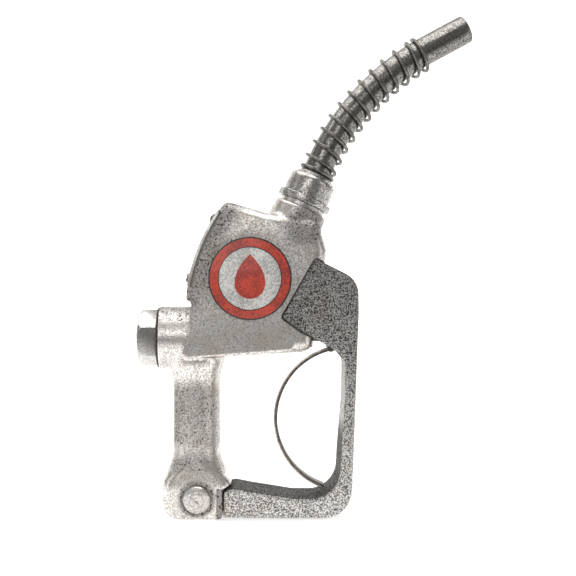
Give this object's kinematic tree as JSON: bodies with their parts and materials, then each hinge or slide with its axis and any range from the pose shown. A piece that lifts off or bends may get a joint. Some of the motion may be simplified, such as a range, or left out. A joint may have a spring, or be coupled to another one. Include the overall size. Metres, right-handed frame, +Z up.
{
  "type": "fuel nozzle",
  "caption": "Cast pistol-grip fuel nozzle with bent spout, anchor spring, sprung lever in a closed guard, hexagon hose inlet and working main valve.",
  "frame": {"origin": "centre of the foot's flat bottom face, on the grip's axis", "axes": "+Z up along the grip, +X towards the guard and the spout, -X towards the hose, Y across the casting"},
  "size_m": [0.2807, 0.0583, 0.4192],
  "materials": {
    "polished_casting": "worn, hand-polished cast aluminium with dark pits",
    "rough_casting": "dark speckled sand-cast aluminium",
    "spout_steel": "worn nickel-plated steel",
    "dark_steel": "dark oxidised steel",
    "trigger_steel": "thin dull steel strap",
    "brass": "turned brass",
    "rubber": "moulded seal",
    "fibre": "pressed fibre gasket",
    "enamel": "enamelled badge"
  },
  "bodies": {
    "nozzle_body": {"anchor_spring": "dark_steel", "back_cover": "polished_casting", "badge": "enamel", "body_casting": "polished_casting", "check_guide": "brass", "check_seat": "brass", "check_spring": "spout_steel", "cover_gasket": "fibre", "cover_screw_1": "dark_steel", "cover_screw_2": "dark_steel", "cover_screw_3": "dark_steel", "cover_screw_4": "dark_steel", "guard": "rough_casting", "guard_bolt": "polished_casting", "guard_nut": "polished_casting", "guard_screw_1": "dark_steel", "guard_screw_2": "dark_steel", "inlet_fitting": "polished_casting", "inlet_gasket": "fibre", "inlet_strainer": "brass", "lever_pin": "dark_steel", "lock_ring": "polished_casting", "packing_nut": "brass", "spout_flange": "spout_steel", "spout_gasket": "rubber", "spout_nut": "polished_casting", "spout_tube": "spout_steel", "stem_packing": "rubber", "valve_seat": "brass", "valve_spring": "spout_steel"},
    "lever": {"lever_arm": "dark_steel", "trigger_strap": "trigger_steel", "strap_rivet_1": "dark_steel", "strap_rivet_2": "dark_steel"},
    "main_valve": {"valve_stem": "spout_steel", "valve_poppet": "brass", "poppet_washer": "rubber", "washer_retainer": "brass", "poppet_nut": "spout_steel"},
    "check_valve": {"check_poppet": "brass"}
  },
  "joints": [
    {"name": "lever_pivot", "type": "hinge", "parent": "nozzle_body", "child": "lever", "pos_m": [0.1148, 0, 0.1871], "axis": [0, 1, 0], "range_deg": [0, 8.5], "stiffness_Nm_per_rad": 2, "springref_deg": -14.32},
    {"name": "valve_slide", "type": "slide", "parent": "nozzle_body", "child": "main_valve", "axis": [-1, 0, 0], "range_m": [0, 0.0059], "deforming": ["valve_spring"]},
    {"name": "check_slide", "type": "slide", "parent": "nozzle_body", "child": "check_valve", "axis": [0.4067, 0, 0.9135], "range_m": [0, 0.004], "stiffness_N_per_m": 60, "springref_m": -0.003, "deforming": ["check_spring"]}
  ],
  "couplings": [
    {"joint": "valve_slide", "follows": "lever_pivot", "m_per_rad": 0.0392}
  ]
}
